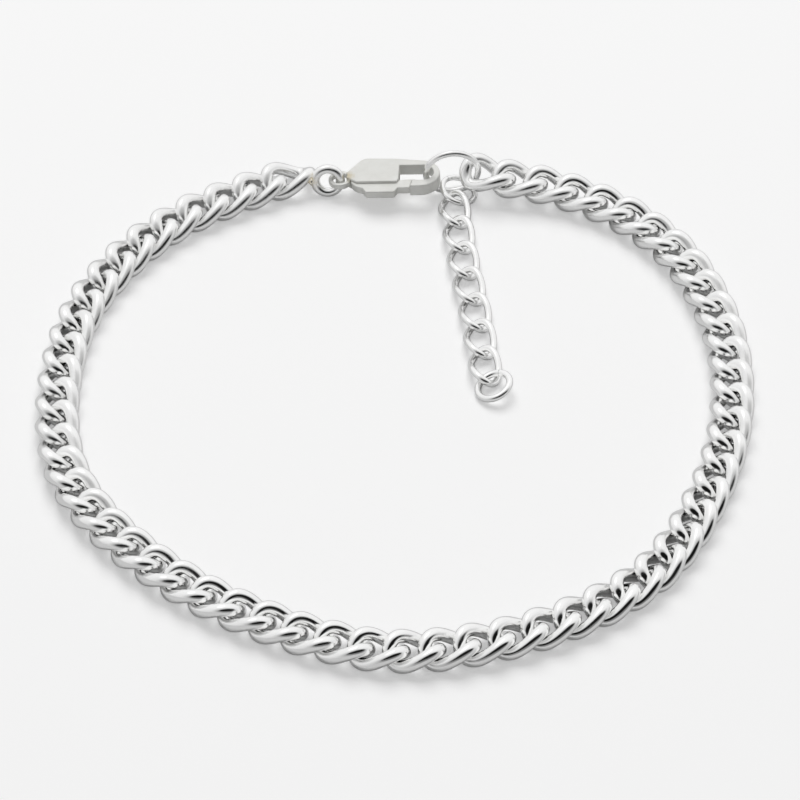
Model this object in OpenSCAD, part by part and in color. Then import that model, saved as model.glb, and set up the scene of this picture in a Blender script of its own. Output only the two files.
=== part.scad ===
// Curb-link bracelet with a flat sprung clasp and a short extender chain, lying in a loop on a surface

/* [Bracelet chain] */
// Diameter of the round wire of a bracelet link, mm
wire_d = 1.1; // [1.0:0.05:1.2]
// Length of the hole in a bracelet link, mm
hole_l = 3.25; // [3.2:0.05:3.6]
// Width of the hole in a bracelet link, mm
hole_w = 1.9; // [1.85:0.05:2.3]
// Slack of a bracelet link in the next one along the chain, mm
link_play = 0.2; // [0.15:0.05:0.3]
// Gap between the wires of two bracelet links where they cross, mm
cross_gap = 0.28; // [0.26:0.02:0.36]
// Height by which the last link is lifted where the hook ring holds it, mm
end_rise = 1.0; // [0.9:0.05:1.1]

/* [Clasp ring] */
// Wire diameter of the ring that is soldered to the first link, mm
clasp_ring_wire = 0.9; // [0.7:0.05:1.0]
// Diameter of the hole in that ring, mm
clasp_ring_hole = 1.5; // [1.4:0.1:2.0]
// Lean of that ring away from the upright, degrees
clasp_ring_lean = 17; // [10:1:25]

/* [Clasp] */
// Thickness of the clasp, mm
clasp_t = 1.3; // [1.2:0.05:1.5]
// Thickness of each cheek over and under the lever, mm
cheek_t = 0.2; // [0.15:0.05:0.25]
// Length from the tail eye to the middle of the hook, mm
hook_x = 7.7; // [7.5:0.1:8.5]
// Radius of the outside of the hook, mm
hook_r = 1.87; // [1.8:0.05:2.1]
// Width of the gap inside the hook, mm
hook_gap = 2.1; // [2.0:0.05:2.3]
// Hole diameter of the tail eye, mm
eye_hole = 1.4; // [1.3:0.05:1.5]
// Width of the metal around the hole of the tail eye, mm
eye_rim = 0.42; // [0.35:0.05:0.5]
// Thickness of the tail eye, mm
eye_t = 0.6; // [0.5:0.05:0.7]
// Diameter of the pin that the lever turns on, mm
pin_d = 0.6; // [0.5:0.05:0.7]
// Distance that the thumb piece stands out from the lever, mm
thumb_out = 0.6; // [0.4:0.1:0.8]
// Running gap around the lever, mm
lever_gap = 0.04; // [0.03:0.01:0.06]

/* [Hook ring] */
// Wire diameter of the ring in the hook, mm
hook_ring_wire = 0.6; // [0.5:0.05:0.65]
// Diameter of the hook ring at the middle of its wire, mm
hook_ring_d = 5.0; // [4.8:0.1:5.4]

/* [Extender] */
// Wire diameter of the extender links, mm
ext_wire = 0.65; // [0.55:0.05:0.7]
// Length of the hole in an extender link, mm
ext_hole_l = 3.75; // [3.5:0.1:4.0]
// Width of the hole in an extender link, mm
ext_hole_w = 1.85; // [1.8:0.05:2.2]
// Slack of an extender link in the next one, mm
ext_play = 0.12; // [0.1:0.02:0.2]
// Wire diameter of the ring that carries the extender, mm
ext_ring_wire = 0.55; // [0.45:0.05:0.55]
// Diameter of that ring at the middle of its wire, mm
ext_ring_d = 3.26; // [3.2:0.02:3.4]
// Wire diameter of the ring at the free end, mm
end_ring_wire = 0.65; // [0.5:0.05:0.7]
// Diameter of the free end's ring at the middle of its wire, mm
end_ring_d = 3.1; // [2.9:0.1:3.4]

/* [Hidden] */

silver = [0.86, 0.86, 0.87];
round_fn = 48;
wire_segments = 14;
wire_sides = 6;

// Middles of the links around the loop, from the clasp side to the hook side, mm
chain_start = [-10.7, 29.2];
chain_route = [[-16.2, 26.4], [-21.1, 23.1], [-28.4, 13.2], [-31, 1], [-29.5, -11.1], [-22.3, -21.3],
    [-12.6, -28.3], [-1, -32.2], [11, -30.1], [21.5, -23.5], [27.3, -13.4], [30.1, -1.5], [29.2, 10.4],
    [24.7, 20.4], [20.2, 24.8], [14.7, 27.5]];
route_steps = 12;
// Number of links over which the chain rises to the hook ring
rise_links = 4.5;
// Turn of the first link from the run of the chain, degrees
first_turn = -5;

// Middles of the extender links after the first, mm
ext_route = [[6, 17.5], [7, 10.5], [7.8, 3.4], [8.4, -1.5]];
ext_cross_gap = 0.22;
// Slack between the extender's end links and their rings, mm
ext_ring_slack = 0.4;
end_ring_slack = 0.3;

// Pose of the clasp and depth of the soldered joint behind it
clasp_turn = -3;
clasp_pitch = 3.6;
eye_z = 1.65;
eye_drop = 0.65;
eye_y = chain_start.y - eye_drop;
solder_depth = 0.17;

// Outline of the clasp body from the tail eye: x, y and corner radius, mm
far_corners = [[2.6, 1.45, 1.0], [5.2, 1.47, 0.9]];
near_corners = [[1.7, -0.84, 0.15], [5.39, -0.84, 0.15]];
tail_corner = [0.95, 0.1, 0.5];
hole_start = 5.65;
hook_y = 0.2;
hook_neck = 1.2;
nose_w = 0.62;
gap_y = hook_y + 0.1;

// Lever from the tail eye, mm
pivot = [2.3, -0.35];
knuckle_r = 1.25;
lever_outer = -1.65;
lever_inner = -0.55;
tip_back = 0.88;
tip_in = 0.45;
lip_reach = 0.35;
lip_w = 0.28;
thumb_x = [2.75, 5.1];
thumb_round = 0.3;
thumb_slope = 0.5;
lip_start = 0.6;

// Lean, turn and middle of the loose rings, degrees and mm
hook_ring_lean = 94;
hook_ring_turn = 5;
hook_ring_drop = 0.15;
hook_ring_y = eye_y - hook_ring_drop;
chain_end_y = hook_ring_y + 0.2;
hook_side_gap = 0.18;
link_side_gap = 0.35;
ext_ring_lean = 19;
ext_ring_turn = 75.5;
ext_ring_turn_out = -98;
ext_ring_at = [0.63, -0.36];
end_ring_lean = 22;
end_ring_turn = -84;
end_ring_turn_out = -74;

// Reach of the lever's tip from its pivot and place of its stop lip
tip_r = norm([hook_x - tip_back - pivot.x, lever_outer + tip_in - pivot.y]);
lip_y = gap_y - hook_gap / 2 + lever_gap;

// Sizes of a curb link: half length and half width of its centre line and the depth of its twist
link_a = (hole_l + wire_d) / 2;
link_b = (hole_w + wire_d) / 2;
link_pitch = hole_l - link_play;
link_c = twist_depth(link_a, link_pitch, wire_d + cross_gap);
ext_a = (ext_hole_l + ext_wire) / 2;
ext_b = (ext_hole_w + ext_wire) / 2;
ext_pitch = ext_hole_l - ext_play;
ext_c = twist_depth(ext_a, ext_pitch, ext_wire + ext_cross_gap);

// Depth of the twist that parts two links by the given height where their wires cross
function twist_depth(a, pitch, apart) = apart / 2 / sin(2 * acos(pitch / 2 / a));

// Slope of a smooth curve at p1, weighed by the distances to its neighbours
function curve_slope(p0, p1, p2) =
    let (before = norm(p1 - p0))
    let (after = norm(p2 - p1))
    ((p2 - p1) * before / after + (p1 - p0) * after / before) / (before + after);

// Point of a smooth curve between p1 and p2
function curve_point(p0, p1, p2, p3, t) =
    let (span = norm(p2 - p1))
    let (slope_1 = span * curve_slope(p0, p1, p2))
    let (slope_2 = span * curve_slope(p1, p2, p3))
    let (t2 = t * t)
    let (t3 = t * t * t)
    (2 * t3 - 3 * t2 + 1) * p1 + (t3 - 2 * t2 + t) * slope_1 + (3 * t2 - 2 * t3) * p2 + (t3 - t2) * slope_2;

// Point of the list, or the one that carries on past its end in a straight line
function point_at(list, i) =
    i < 0 ? 2 * list[0] - list[1] :
    i >= len(list) ? 2 * list[len(list) - 1] - list[len(list) - 2] : list[i];

// Points of the smooth curve through a list of points
function smooth_path(list) = [
    for (i = [0 : len(list) - 2])
        for (k = [0 : route_steps - 1])
            curve_point(point_at(list, i - 1), list[i], list[i + 1], point_at(list, i + 2), k / route_steps),
    list[len(list) - 1]];

// Distance along a path to each of its points
function run_lengths(path) = [
    for (i = 0, s = 0; i < len(path); s = s + (i + 1 < len(path) ? norm(path[i + 1] - path[i]) : 0), i = i + 1) s];

// Place and direction on a path at a distance along it
function path_place(path, runs, s) =
    let (xs = [for (i = [0 : len(path) - 1]) [runs[i], path[i].x]])
    let (ys = [for (i = [0 : len(path) - 1]) [runs[i], path[i].y]])
    [lookup(s, xs), lookup(s, ys)];
function path_heading(path, runs, s, span) =
    let (p = path_place(path, runs, max(s - span, 0)))
    let (q = path_place(path, runs, min(s + span, runs[len(runs) - 1])))
    atan2(q.y - p.y, q.x - p.x);

// Point of a curb link's surface: t runs around the link and u around its wire
function link_surface(a, b, c, r, t, u) =
    let (middle = [a * cos(t), b * sin(t), -c * sin(2 * t)])
    let (out = [b * cos(t), a * sin(t), 0] / norm([b * cos(t), a * sin(t)]))
    let (along = [-a * sin(t), b * cos(t), -2 * c * cos(2 * t)])
    let (up = cross(along, out) / norm(along))
    middle + r * (cos(u) * out + sin(u) * up);

// Points of an arc between two angles
function arc_points(middle, r, from, to, steps) = [
    for (i = [0 : steps]) let (t = from + (to - from) * i / steps) middle + r * [cos(t), sin(t)]];

// Turns a point by a pitch and a heading and moves it to its place
function placed(p, at, heading, pitch) =
    let (x = p.x * cos(pitch) - p.z * sin(pitch))
    let (z = p.x * sin(pitch) + p.z * cos(pitch))
    [at.x + x * cos(heading) - p.y * sin(heading), at.y + x * sin(heading) + p.y * cos(heading), at.z + z];

// Corner points of one link's mesh
function link_points(a, b, c, r, at, heading, pitch) = [
    for (i = [0 : wire_segments - 1])
        for (j = [0 : wire_sides - 1])
            placed(link_surface(a, b, c, r, 45 + i * 360 / wire_segments, 90 + j * 360 / wire_sides),
                at, heading, pitch)];

// Triangles of one link's mesh, counted on from the given corner
function link_faces(first) = [
    for (i = [0 : wire_segments - 1])
        for (j = [0 : wire_sides - 1])
            let (i2 = (i + 1) % wire_segments)
            let (j2 = (j + 1) % wire_sides)
            let (p = first + i * wire_sides + j)
            let (q = first + i2 * wire_sides + j)
            let (p2 = first + i * wire_sides + j2)
            let (q2 = first + i2 * wire_sides + j2)
            each [[p, q, q2], [p, q2, p2]]];

// Places along the length, worked out from the first link through the clasp to the last link
first_path = smooth_path(concat([chain_start], chain_route));
first_runs = run_lengths(first_path);
first_heading = path_heading(first_path, first_runs, 0, 0.5) + first_turn;
clasp_ring_r = (clasp_ring_hole + clasp_ring_wire) / 2;
clasp_ring_x = link_side_x() + clasp_ring_r + clasp_ring_wire / 2 - solder_depth;
eye_x = clasp_ring_x + clasp_ring_r;
hook_inner = hook_x + hook_r - nose_w;
hook_point = clasp_place([hook_inner, hook_y, -clasp_t / 2]);
hook_ring_r = hook_ring_d / 2;
hook_ring_z = hook_ring_r * sin(hook_ring_lean) + hook_ring_wire / 2;
hook_ring_x = hook_point.x - hook_ring_wire / 2 - hook_side_gap
    + sqrt(hook_ring_r * hook_ring_r - (hook_ring_z - hook_point.z) * (hook_ring_z - hook_point.z));
last_pitch = atan(2 * end_rise / (rise_links * link_pitch));
last_z = link_c + wire_d / 2 + end_rise;
last_tip_z = last_z + link_a * sin(last_pitch);
tip_reach = hook_ring_r - (hook_ring_wire + wire_d) / 2 - link_side_gap;
last_x = hook_ring_x + sqrt(tip_reach * tip_reach - (hook_ring_z - last_tip_z) * (hook_ring_z - last_tip_z))
    + link_a * cos(last_pitch);

// Side of the first link where the ring is soldered to it
function link_side_x() =
    let (half = [link_a + wire_d / 2, link_b + wire_d / 2])
    let (rise = [half.x * sin(first_heading), half.y * cos(first_heading)])
    let (t = atan2(rise.y, rise.x) - acos((eye_y - chain_start.y) / norm(rise)))
    chain_start.x + half.x * cos(t) * cos(first_heading) - half.y * sin(t) * sin(first_heading);

// Place of a point of the clasp
function clasp_place(p) = placed(p, [eye_x, eye_y, eye_z], clasp_turn, clasp_pitch);

// The chain from end to end
chain_path = smooth_path(concat([chain_start], chain_route, [[last_x, chain_end_y]]));
chain_runs = run_lengths(chain_path);
chain_length = chain_runs[len(chain_runs) - 1];
link_count = 1 + ceil(chain_length / link_pitch);
link_step = chain_length / (link_count - 1);
rise_start = chain_length - rise_links * link_pitch;
half_count = floor(link_count / 2) + 1;

function rise_share(s) = max(s - rise_start, 0) / (rise_links * link_pitch);
function chain_link(i) =
    let (s = i * link_step)
    let (at = path_place(chain_path, chain_runs, s))
    let (heading = path_heading(chain_path, chain_runs, s, 0.5) + (i == 0 ? first_turn : 0))
    let (pitch = atan(2 * end_rise * rise_share(s) / (rise_links * link_pitch)))
    let (lift = max(end_rise * rise_share(s) * rise_share(s), link_a * sin(45) * sin(pitch)))
    link_points(link_a, link_b, link_c, wire_d / 2, [at.x, at.y, link_c + wire_d / 2 + lift], heading, pitch);
chain_points = [for (i = [0 : link_count - 1]) chain_link(i)];

// Extender and its rings
hook_ring_at = [hook_ring_x, hook_ring_y, hook_ring_z];
ext_ring_r = ext_ring_d / 2;
ext_ring_z = ext_ring_r * sin(ext_ring_lean) + ext_ring_wire / 2;
ext_ring_pos = [hook_ring_x + ext_ring_at.x, hook_ring_y + ext_ring_at.y, ext_ring_z];
ext_first_reach = ext_ring_r + ext_a - (ext_ring_wire + ext_wire) / 2 - ext_ring_slack;
ext_first = [ext_ring_pos.x, ext_ring_pos.y] + ext_first_reach * [cos(ext_ring_turn_out), sin(ext_ring_turn_out)];
ext_path = smooth_path(concat([ext_first], ext_route));
ext_runs = run_lengths(ext_path);
function ext_place(k) = path_place(ext_path, ext_runs, k * ext_pitch);
function ext_heading(k) = path_heading(ext_path, ext_runs, k * ext_pitch, 1);
ext_last = ext_place(6);
end_ring_r = end_ring_d / 2;
end_reach = end_ring_r + ext_a - (end_ring_wire + ext_wire) / 2 - end_ring_slack;
end_ring_pos = [ext_last.x + end_reach * cos(end_ring_turn_out), ext_last.y + end_reach * sin(end_ring_turn_out),
    end_ring_r * sin(end_ring_lean) + end_ring_wire / 2];

// Shift that brings the middle of the whole outline's footprint to the origin
all_points = [for (link = chain_points) each link];
low = [min([for (p = all_points) p.x]), min([for (p = all_points) p.y])];
high = [max([for (p = all_points) p.x]), max([for (p = all_points) p.y])];
shift = [-(low.x + high.x) / 2, -(low.y + high.y) / 2, 0];

// A group of bracelet links, each interlocked with the next and clear of it
module chain_links(from, to) {
    polyhedron(
        points = [for (i = [from : to]) each chain_points[i]],
        faces = [for (i = [from : to]) each link_faces((i - from) * wire_segments * wire_sides)]);
}

// A round ring of wire
module wire_ring(ring_r, wire) {
    rotate_extrude($fn = round_fn)
        translate([ring_r, 0])
            circle(d = wire, $fn = round_fn);
}

// First link with the ring soldered to its end
module end_link() {
    color(silver) translate(shift) {
        chain_links(0, 0);
        translate([clasp_ring_x, eye_y, clasp_ring_r * cos(clasp_ring_lean) + clasp_ring_wire / 2])
            rotate([90 - clasp_ring_lean, 0, 0])
                wire_ring(clasp_ring_r, clasp_ring_wire);
    }
}

// Bracelet links on the clasp side
module curb_chain_left() {
    color(silver) translate(shift) chain_links(1, half_count - 1);
}

// Bracelet links on the hook side
module curb_chain_right() {
    color(silver) translate(shift) chain_links(half_count, link_count - 1);
}

// One link of the extender chain, counted from the hook ring
module extender_link(k) {
    at = concat(ext_place(k), ext_c + ext_wire / 2);
    color(silver) translate(shift)
        polyhedron(
            points = link_points(ext_a, ext_b, ext_c, ext_wire / 2, at, ext_heading(k), 0),
            faces = link_faces(0));
}

// Moves the clasp's own frame to its place at the ring
module in_clasp_place() {
    translate(shift) translate([eye_x, eye_y, eye_z]) rotate([0, -clasp_pitch, clasp_turn]) children();
}

// Circle at a corner given by x, y and radius
module corner(c) {
    translate([c.x, c.y]) circle(r = c.z, $fn = round_fn);
}

// Flat outline of the clasp body with its hook
module clasp_outline() {
    difference() {
        union() {
            hull() {
                corner(tail_corner);
                corner(far_corners[0]);
                corner(far_corners[1]);
                corner(near_corners[0]);
                corner(near_corners[1]);
            }
            hull() {
                corner(far_corners[1]);
                corner([hook_x, hook_y, hook_r]);
            }
            translate([hook_x - hook_neck, hook_y - hook_r]) square([hook_neck, hook_r]);
        }
        hull() {
            corner([hook_inner - hook_gap / 2, gap_y, hook_gap / 2]);
            translate([hole_start, gap_y - hook_gap / 2]) square([0.5, hook_gap]);
        }
        intersection() {
            corner([pivot.x, pivot.y, tip_r + lever_gap]);
            translate([near_corners[1].x + near_corners[1].z, -hook_r * 2])
                square([hook_r, hook_r * 2 + gap_y - hook_gap / 2 + 0.01]);
        }
    }
}

// Space that the lever turns in, seen from above
module lever_space() {
    corner([pivot.x, pivot.y, knuckle_r + lever_gap]);
    polygon([
        [pivot.x, pivot.y],
        [pivot.x + 0.3, pivot.y + knuckle_r],
        [hole_start + 0.1, hook_y + 0.25],
        [hole_start + 0.1, -hook_r * 2],
        [pivot.x - knuckle_r - lever_gap, -hook_r * 2],
        [pivot.x - knuckle_r - lever_gap, pivot.y]]);
}

// Clasp body: two cheeks joined along the far side, hook, tail eye and lever pin
module clasp_body() {
    color(silver) in_clasp_place() {
        difference() {
            union() {
                linear_extrude(clasp_t, center = true) clasp_outline();
                cylinder(r = eye_hole / 2 + eye_rim, h = eye_t, center = true, $fn = round_fn);
            }
            cylinder(d = eye_hole, h = clasp_t * 2, center = true, $fn = round_fn);
            linear_extrude(clasp_t - 2 * cheek_t, center = true) lever_space();
        }
        translate([pivot.x, pivot.y, 0])
            cylinder(d = pin_d, h = clasp_t - cheek_t, center = true, $fn = round_fn);
    }
}

// Flat outline of the lever: knuckle, thumb piece, tip and stop lip, counted around from its inner side
module lever_outline() {
    outer_angle = asin((lever_outer - pivot.y) / tip_r);
    lip_angle = asin((lip_y - pivot.y) / tip_r);
    thumb_y = lever_outer - thumb_out + thumb_round;
    difference() {
        polygon(concat(
            arc_points(pivot, knuckle_r, 40, 255, 24),
            [[thumb_x[0] - thumb_slope, lever_outer]],
            arc_points([thumb_x[0], thumb_y], thumb_round, 210, 270, 6),
            arc_points([thumb_x[1], thumb_y], thumb_round, 270, 330, 6),
            [[thumb_x[1] + thumb_slope, lever_outer]],
            arc_points(pivot, tip_r, outer_angle, lip_angle, 8),
            [[pivot.x + tip_r + lip_reach, lip_y],
                [pivot.x + tip_r + lip_reach, lip_y + lip_w],
                [hole_start + lip_start, lip_y + lip_w],
                [hole_start, lever_inner]]));
        corner([pivot.x, pivot.y, pin_d / 2 + lever_gap]);
    }
}

// Sprung lever that closes the hook
module clasp_lever() {
    color(silver) in_clasp_place()
        linear_extrude(clasp_t - 2 * cheek_t - 2 * lever_gap, center = true) lever_outline();
}

// Ring that joins the last link to the clasp's hook
module hook_ring() {
    color(silver) translate(shift) translate(hook_ring_at)
        rotate([hook_ring_lean, 0, hook_ring_turn]) wire_ring(hook_ring_r, hook_ring_wire);
}

// Small ring that hangs the extender on the hook ring
module extender_ring() {
    color(silver) translate(shift) translate(ext_ring_pos)
        rotate([ext_ring_lean, 0, ext_ring_turn]) wire_ring(ext_ring_r, ext_ring_wire);
}

// Round ring at the free end of the extender
module end_ring() {
    color(silver) translate(shift) translate(end_ring_pos)
        rotate([end_ring_lean, 0, end_ring_turn]) wire_ring(end_ring_r, end_ring_wire);
}

end_link();
curb_chain_left();
curb_chain_right();
clasp_body();
clasp_lever();
hook_ring();
extender_ring();
extender_link(0);  // extender_link_1
extender_link(1);  // extender_link_2
extender_link(2);  // extender_link_3
extender_link(3);  // extender_link_4
extender_link(4);  // extender_link_5
extender_link(5);  // extender_link_6
extender_link(6);  // extender_link_7
end_ring();
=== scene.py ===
"""Curb-link bracelet with a flat sprung clasp and a short extender chain, dressed for its photograph."""

import sys
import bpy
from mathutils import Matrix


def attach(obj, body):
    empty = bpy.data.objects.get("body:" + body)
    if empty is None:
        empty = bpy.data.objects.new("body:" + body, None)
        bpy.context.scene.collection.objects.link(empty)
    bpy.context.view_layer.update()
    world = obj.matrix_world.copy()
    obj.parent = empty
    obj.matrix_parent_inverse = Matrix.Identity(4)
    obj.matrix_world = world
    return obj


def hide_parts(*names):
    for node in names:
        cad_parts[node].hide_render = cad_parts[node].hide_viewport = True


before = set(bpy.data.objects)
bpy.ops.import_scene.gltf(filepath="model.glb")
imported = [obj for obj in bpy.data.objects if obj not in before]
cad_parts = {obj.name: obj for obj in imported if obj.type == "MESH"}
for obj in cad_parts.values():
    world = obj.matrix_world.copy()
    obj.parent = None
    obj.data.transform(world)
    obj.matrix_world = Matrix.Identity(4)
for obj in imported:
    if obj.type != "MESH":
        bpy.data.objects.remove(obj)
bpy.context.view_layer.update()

import logging
import math
from dataclasses import dataclass, replace
from enum import Enum
from functools import cache
from typing import Any, Sequence

import bmesh
import bpy
import numpy as np
from mathutils import Vector

MM = 0.001
WHITE = (1.0, 1.0, 1.0, 1.0)
LOG = logging.getLogger("bracelet")

Pair = tuple[float, float]
Triple = tuple[float, float, float]
Socket = bpy.types.NodeSocket


class Body(Enum):
    """Parts of the bracelet that move on their own."""

    BRACELET = "bracelet"
    LEVER = "lever"


class Slot(Enum):
    """Finishes that the record names."""

    POLISHED = "polished_silver"
    SATIN = "satin_silver"


# Placing and paths


def turned(first: np.ndarray, second: np.ndarray, angle: float) -> tuple[np.ndarray, np.ndarray]:
    """Turns two coordinates from the first axis towards the second, by an angle in degrees."""
    c, s = math.cos(math.radians(angle)), math.sin(math.radians(angle))
    return first * c - second * s, first * s + second * c


@dataclass(frozen=True)
class Pose:
    """Place of a piece: lean about x, pitch that raises +x, heading about z and the move. Degrees, mm."""

    at: Triple = (0.0, 0.0, 0.0)
    heading: float = 0.0
    pitch: float = 0.0
    lean: float = 0.0

    def apply(self, points: np.ndarray) -> np.ndarray:
        """Moves points from the piece's own frame to their place.

        Args:
            points: Any array whose last axis is x, y, z.

        Returns:
            The moved points, in the same layout.
        """
        x, y, z = points[..., 0], points[..., 1], points[..., 2]
        y, z = turned(y, z, self.lean)
        x, z = turned(x, z, self.pitch)
        x, y = turned(x, y, self.heading)
        return np.stack([x, y, z], -1) + np.array(self.at)


class Route:
    """Smooth path on the ground through a few chosen points, measured by the distance along it."""

    def __init__(self, points: Sequence[Pair], steps: int = 12) -> None:
        """Draws the curve.

        Args:
            points: The chosen points, mm.
            steps: Straight runs between two chosen points.
        """
        knots = np.array(points, float)
        before, after = 2 * knots[0] - knots[1], 2 * knots[-1] - knots[-2]
        wide = np.vstack([before, knots, after])
        path = []
        for i in range(len(knots) - 1):
            p0, p1, p2, p3 = wide[i : i + 4]
            span = np.linalg.norm(p2 - p1)
            slope_1, slope_2 = span * self._slope(p0, p1, p2), span * self._slope(p1, p2, p3)
            for k in range(steps):
                t = k / steps
                path.append(
                    (2 * t**3 - 3 * t**2 + 1) * p1
                    + (t**3 - 2 * t**2 + t) * slope_1
                    + (3 * t**2 - 2 * t**3) * p2
                    + (t**3 - t**2) * slope_2
                )
        self.path = np.array(path + [knots[-1]])
        self.runs = np.concatenate([[0], np.cumsum(np.linalg.norm(np.diff(self.path, axis=0), axis=1))])

    @staticmethod
    def _slope(p0: np.ndarray, p1: np.ndarray, p2: np.ndarray) -> np.ndarray:
        """Slope at p1, weighed by the distances to its neighbours."""
        before, after = np.linalg.norm(p1 - p0), np.linalg.norm(p2 - p1)
        return ((p2 - p1) * before / after + (p1 - p0) * after / before) / (before + after)

    @property
    def length(self) -> float:
        """Distance from end to end."""
        return float(self.runs[-1])

    def place(self, distance: float) -> Pair:
        """Point at a distance along the path."""
        return tuple(float(np.interp(distance, self.runs, self.path[:, k])) for k in (0, 1))

    def heading(self, distance: float, span: float) -> float:
        """Direction of the path over a short span to each side of a distance along it, degrees."""
        p, q = self.place(max(distance - span, 0)), self.place(min(distance + span, self.length))
        return math.degrees(math.atan2(q[1] - p[1], q[0] - p[0]))


# Wire and plate shapes


def circle(count: int) -> np.ndarray:
    """Angles of evenly spaced points around a circle, radians."""
    return np.arange(count) * 2 * math.pi / count


def swept(reach: np.ndarray, rise: np.ndarray, turns: np.ndarray) -> np.ndarray:
    """Surface that a closed section leaves as it turns about the z axis.

    Args:
        reach: Distance of each point of the section from the axis, mm.
        rise: Height of each point, mm.
        turns: Angles at which the section is drawn, radians.

    Returns:
        Grid of points, one row for each angle.
    """
    t = turns[:, None]
    return np.stack([reach * np.cos(t), reach * np.sin(t), 0 * t + rise], -1)


@dataclass(frozen=True)
class WireLink:
    """One link of round wire, mm: an oval whose long sides are twisted so that a row of links lies flat."""

    hole_length: float
    hole_width: float
    wire: float
    play: float  # slack of a link in its neighbour
    cross_gap: float  # air between two wires where they cross

    @property
    def half_length(self) -> float:
        """Half length of the centre line."""
        return (self.hole_length + self.wire) / 2

    @property
    def half_width(self) -> float:
        """Half width of the centre line."""
        return (self.hole_width + self.wire) / 2

    @property
    def pitch(self) -> float:
        """Distance from one link to the next."""
        return self.hole_length - self.play

    @property
    def twist(self) -> float:
        """Depth of the twist, which parts two links where their wires cross."""
        return (self.wire + self.cross_gap) / 2 / math.sin(2 * math.acos(self.pitch / 2 / self.half_length))

    @property
    def rest_height(self) -> float:
        """Height of the link's middle when it lies on the ground."""
        return self.twist + self.wire / 2

    def skin(self, around: int, across: int) -> np.ndarray:
        """Surface of the link as a grid of points.

        Args:
            around: Points around the oval.
            across: Points around the wire.

        Returns:
            Array of around by across points.
        """
        t = (math.pi / 4 + circle(around))[:, None]
        u = (math.pi / 2 + circle(across))[None, :, None]
        a, b, c = self.half_length, self.half_width, self.twist
        middle = np.stack([a * np.cos(t), b * np.sin(t), -c * np.sin(2 * t)], -1)
        out = np.stack([b * np.cos(t), a * np.sin(t), 0 * t], -1)
        out = out / np.linalg.norm(out, axis=-1, keepdims=True)
        along = np.stack([-a * np.sin(t), b * np.cos(t), -2 * c * np.cos(2 * t)], -1)
        up = np.cross(along, out) / np.linalg.norm(along, axis=-1, keepdims=True)
        return middle + self.wire / 2 * (np.cos(u) * out + np.sin(u) * up)


@dataclass(frozen=True)
class WireRing:
    """Round ring of wire that leans against its neighbours, mm and degrees."""

    diameter: float
    wire: float
    lean: float  # 0 lies flat and 90 stands upright
    turn: float = 0.0  # heading of the axis that it leans about

    @property
    def radius(self) -> float:
        """Radius at the middle of the wire."""
        return self.diameter / 2

    @property
    def rest_height(self) -> float:
        """Height of the ring's middle when its lowest point touches the ground."""
        return self.radius * math.sin(math.radians(self.lean)) + self.wire / 2

    def _section(self, across: int) -> tuple[np.ndarray, np.ndarray]:
        """Section through the wire: each point's distance from the ring's axis, and its height."""
        u = circle(across)
        return self.radius + self.wire / 2 * np.cos(u), self.wire / 2 * np.sin(u)

    def closed_skin(self, around: int, across: int) -> np.ndarray:
        """Surface of a ring without a cut about the z axis, as a grid of around by across points."""
        return swept(*self._section(across), circle(around))

    def cut_skin(self, around: int, across: int, cut_at: float, cut_width: float) -> np.ndarray:
        """Surface of the ring with a fine cut through its wire.

        Args:
            around: Points along the wire.
            across: Points around the wire.
            cut_at: Angle of the cut, degrees.
            cut_width: Width of the cut, mm.

        Returns:
            Array of around by across points, from one face of the cut to the other.
        """
        half = cut_width / 2 / self.radius
        turns = math.radians(cut_at) + np.linspace(half, 2 * math.pi - half, around)
        return swept(*self._section(across), turns)


def arc(middle: Pair, radius: float, start: float, end: float, steps: int) -> np.ndarray:
    """Points of an arc.

    Args:
        middle: Centre of the arc, mm.
        radius: Radius, mm.
        start: First angle, degrees.
        end: Last angle, degrees.
        steps: Straight runs in the arc.

    Returns:
        Array of steps + 1 points.
    """
    t = np.radians(np.linspace(start, end, steps + 1))
    return np.stack([middle[0] + radius * np.cos(t), middle[1] + radius * np.sin(t)], -1)


def round_corner(corner: Triple, start: float, end: float, steps: int) -> np.ndarray:
    """Points of an arc on a round corner, given as x, y and radius."""
    return arc(corner[:2], corner[2], start, end, steps)


def tangent_angle(here: Triple, there: Triple) -> float:
    """Angle at which a belt leaves one round corner for the next, with the corners on its left.

    Args:
        here: Corner that the belt leaves: x, y and radius.
        there: Corner that it goes to.

    Returns:
        Angle of the belt's outward side, degrees.
    """
    dx, dy = there[0] - here[0], there[1] - here[1]
    return math.degrees(math.atan2(dy, dx) - math.acos((here[2] - there[2]) / math.hypot(dx, dy)))


def squared_off(wave: np.ndarray, softness: float) -> np.ndarray:
    """Wave with flatter tops, from 1 for a plain one towards 0 for a square one."""
    return np.sign(wave) * np.abs(wave) ** softness


def without_repeats(points: np.ndarray, least: float = 0.045) -> np.ndarray:
    """Thins a closed outline where its points crowd.

    Args:
        points: Points of the outline, mm.
        least: Each point that lies nearer than this to the one before it is left out, mm.

    Returns:
        The points that are kept.
    """
    kept = [points[0]]
    for point in points[1:]:
        if np.linalg.norm(point - kept[-1]) > least:
            kept.append(point)
    while len(kept) > 3 and np.linalg.norm(kept[-1] - kept[0]) <= least:
        kept.pop()
    return np.array(kept)


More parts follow.
